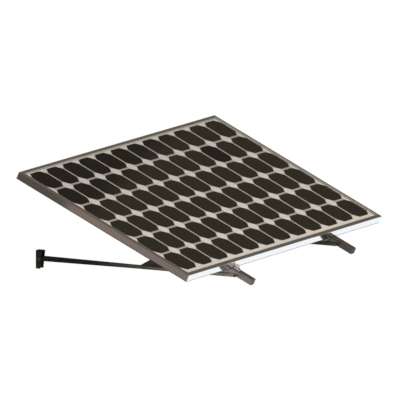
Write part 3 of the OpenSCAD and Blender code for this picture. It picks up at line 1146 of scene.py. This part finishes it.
@dataclass
class SealBead:
    """Bead of sealant on the glass, all round the lip's inner edge.

    Attributes:
        slope: the module's directions.
        lip: width of the frame's lip, in metres.
        under: how far the glass lies under the lip's top.
        section: corners of the bead's section: distance in from the lip and height over the glass.
    """

    frame: dict
    slope: Slope
    lip: float = 15.5 * MM
    under: float = 2 * MM
    section: tuple[tuple[float, float], ...] = (
        (0.05 * MM, 0.02 * MM),
        (0.05 * MM, 1.8 * MM),
        (0.8 * MM, 1.75 * MM),
        (1.7 * MM, 1.45 * MM),
        (2.5 * MM, 0.9 * MM),
        (3.2 * MM, 0.02 * MM),
    )

    def build(self, material: bpy.types.Material) -> bpy.types.Object:
        """Makes the bead as one closed ring with mitred corners.

        Args:
            material: the sealant's finish.

        Returns:
            The piece.
        """
        axes = (ACROSS, self.slope.down, self.slope.up)
        (left, right), (rear, front), (_, top) = (
            span(self.frame, FRAME_SIDES, axis) for axis in axes
        )
        mesh = bmesh.new()
        rings = []
        for inward, height in self.section:
            reach = self.lip + inward
            level = self.slope.up * (top - self.under + height)
            low_x, high_x = left + reach, right - reach
            low_d, high_d = rear + reach, front - reach
            corners = ((low_x, low_d), (high_x, low_d), (high_x, high_d), (low_x, high_d))
            rings.append(
                [mesh.verts.new(Vector((x, 0, 0)) + self.slope.down * d + level) for x, d in corners]
            )
        for first, second in zip(rings, rings[1:] + rings[:1]):
            for k in range(4):
                n = (k + 1) % 4
                mesh.faces.new((first[k], first[n], second[n], second[k]))
        bmesh.ops.recalc_face_normals(mesh, faces=mesh.faces)
        piece = link_piece("seal_bead", mesh, material)
        return piece


@dataclass
class Dresser:
    """Gives each CAD node the finish of its record slot.

    Attributes:
        materials: material of each slot.
    """

    frame: dict
    materials: dict[str, bpy.types.Material]

    def dress(self) -> None:
        """Puts the materials on all the nodes."""
        for part in self.frame["record"]["subparts"]:
            node = self.frame["nodes"][part["node"]]
            material = self.materials[part["material_slot"]]
            if not node.data.materials:
                node.data.materials.append(material)
            for slot in node.material_slots:
                slot.material = material
            LOG.info("%s: %s", node.name, material.name)


def painted_shade_right_half(colour: Colour) -> Fade:
    """Lets a darker colour take over on the right-hand rail, plug or strut, half-way between the
    two: painted shade, as these are the same as the left-hand ones and only lie in less light.
    """
    return Fade(colour, ACROSS, -0.05, 0.05)


def module_finishes(frame: dict, slope: Slope) -> dict[str, Dress]:
    """Makes the finishes of the module and its frame.

    Args:
        slope: the module's directions.

    Returns:
        The finishes by slot, and the sealant bead's.
    """
    seat = span(frame, ("frame_front",), slope.up)[0]
    # Painted shade: a dark line along the frame's lower edge, where the edge lies in shadow.
    lower_edge_painted_shade = Fade(
        (0.06, 0.05, 0.04), tuple(slope.up), seat + 2.6 * MM, seat + 1.6 * MM,
        ragged=1.6 * MM, grain=20 * MM,
    )
    cells = CellGrid.measured(slope)
    rear = -slope.down.dot(cells.origin)
    low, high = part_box("solar_cells")
    left, right = -low[0], high[0]
    return {
        "frame_anodised": Finish(
            "anodised", (0.84, 0.885, 0.92), (0.81, 0.86, 0.90), (0.10, 0.15), 1.0, 0.5, 0.3,
            fades=(lower_edge_painted_shade,),
        ),
        "key_metal": Finish("cast_key", (0.5, 0.5, 0.5), (0.4, 0.4, 0.4), (0.4, 0.6), 1.0),
        "seal_black": Finish("sealant", (0.02, 0.02, 0.02), (0.03, 0.03, 0.03), (0.5, 0.7)),
        "bead": Finish(
            "sealant_bead", (0.40, 0.355, 0.305), (0.35, 0.31, 0.265), (0.5, 0.65), 0.0, 0.2, 0.05
        ),
        "glass_front": GlassFinish(),
        "cell_silicon": CellFinish("silicon", cells),
        "encapsulant_clear": PaintedGapShadeFinish(
            "backsheet_seen", (0.74, 0.685, 0.61), (0.684, 0.632, 0.564), (0.6, 0.7), 0.0, 0.1, 0.5,
            fades=(
                Fade((0.601, 0.55, 0.498), tuple(-slope.down), rear - 0.54, rear + 0.04),
                # Painted shade: the sheet darker along the left and right edges of the field, where
                # the frame's lip shades it.
                Fade((0.13, 0.116, 0.097), (-1, 0, 0), left - 0.3 * MM, left + 0.9 * MM),
                Fade((0.259, 0.231, 0.194), ACROSS, right + 0.5 * MM, right + 3 * MM),
            ),
            cells=cells,
        ),
        "backsheet_white": Finish(
            "backsheet", (0.82, 0.81, 0.78), (0.76, 0.75, 0.72), (0.5, 0.65)
        ),
        "box_black": Finish(
            "moulding", (0.02, 0.02, 0.02), (0.028, 0.028, 0.028), (0.4, 0.55)
        ),
        "clip_metal": Finish("clip", (0.72, 0.55, 0.3), (0.6, 0.45, 0.25), (0.3, 0.45), 1.0),
    }


def mount_finishes(frame: dict, slope: Slope) -> dict[str, Dress]:
    """Makes the finishes of the rails, struts, gussets, feet, fasteners and lug.

    Args:
        slope: the module's directions.

    Returns:
        The finishes by slot, and the rail plugs'.
    """
    seat = span(frame, ("frame_front",), slope.up)[0]
    rail_end = span(frame, RAILS[:1], slope.down)[1]
    # Where the gussets' outer corners, paler with painted light, have taken over, in metres along
    # the two fades.
    painted_light_corner = 1.2366
    return {
        "rail_metal": Finish(
            "mill_metal", (0.33, 0.36, 0.37), (0.37, 0.325, 0.28), (0.3, 0.42), 0.9, 0.5, 0.02,
            Grain.ALONG_SLOPE,
            fades=(
                # Painted shade: the right-hand rail darker than the left-hand one, though both are
                # the same metal.
                painted_shade_right_half((0.125, 0.11, 0.09)),
                # Painted shade: the rails darker at their tops, just under the module's seat.
                Fade((0.27, 0.235, 0.195), tuple(slope.up), seat - 3 * MM, seat - 1 * MM),
                Fade(
                    (0.12, 0.105, 0.09), tuple(slope.down),
                    rail_end - 1.4 * MM, rail_end - 0.4 * MM,
                ),
            ),
        ),
        "plug": Finish(
            "plug_moulding", (0.20, 0.175, 0.15), (0.15, 0.13, 0.11), (0.5, 0.65), 0.0, 0.3, 0.02,
            # Painted shade: the right-hand rail's plugs darker than the left-hand ones.
            fades=(painted_shade_right_half((0.09, 0.08, 0.066)),),
        ),
        "strut_dark": Finish(
            "strut_paint", (0.009, 0.0075, 0.005), (0.006, 0.005, 0.003), (0.45, 0.6), 0.0, 0.2,
            fades=(
                # Painted light and shade: the struts dark near the wall, where they lie in shade,
                # paler towards their front ends, which are lit, and the right-hand strut darker than
                # the left-hand one.
                Fade((0.068, 0.06, 0.047), OUTWARDS, 0.22, 0.52, 0.05),
                Fade((0.2, 0.165, 0.138), OUTWARDS, 0.48, 0.68, 0.05),
                painted_shade_right_half((0.042, 0.036, 0.028)),
            ),
        ),
        "gusset_dark": Finish(
            "gusset_paint", (0.04, 0.034, 0.023), (0.032, 0.027, 0.018), (0.45, 0.6), 0.0, 0.3,
            fades=(
                # Painted light and shade: the gussets dark under the module and paler blue-grey
                # towards the front; their outer corners lit, pale on the left-hand gusset and brown
                # on the right-hand one.
                Fade((0.33, 0.345, 0.345), OUTWARDS, 0.62, 0.78, 0.03),
                Fade(
                    (0.30, 0.28, 0.255), (-1, -1, -1),
                    painted_light_corner - 20 * MM, painted_light_corner, ragged=6 * MM, grain=10 * MM,
                ),
                Fade(
                    (0.14, 0.125, 0.098), (1, -1, -1),
                    painted_light_corner - 8 * MM, painted_light_corner, ragged=4 * MM, grain=10 * MM,
                ),
            ),
        ),
        "foot_dark": Finish(
            "foot_paint", (0.0135, 0.0118, 0.0078), (0.0095, 0.0083, 0.0055), (0.45, 0.6), 0.0, 0.2
        ),
        "fastener_steel": Finish(
            "zinc", (0.17, 0.15, 0.13), (0.13, 0.115, 0.1), (0.35, 0.5), 1.0, 0.5, 0.01
        ),
        "lug_brass": Finish(
            "tinned", (0.7, 0.67, 0.63), (0.6, 0.57, 0.53), (0.35, 0.5), 0.1, 0.5, 0.01
        ),
    }


def main() -> None:
    """Builds the scene in order."""
    logging.basicConfig(level=logging.INFO, format="%(message)s")
    bpy.context.scene.view_settings.view_transform = "Standard"
    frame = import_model()
    slope = Slope.from_record(frame["record"])
    view = View()
    view.build()
    Studio(slope, view).build()
    finishes = {**module_finishes(frame, slope), **mount_finishes(frame, slope)}
    materials = {slot: finish.material(slope) for slot, finish in finishes.items()}
    Dresser(frame, materials).dress()
    for assembly, finish in (
        (Pane(frame, slope), "glass_front"),
        (RailPlugs(frame, slope), "plug"),
        (SealBead(frame, slope), "bead"),
    ):
        piece = assembly.build(materials[finish])
        LOG.info("%s: %d faces", piece.name, len(piece.data.polygons))


if __name__ == "__main__":
    main()
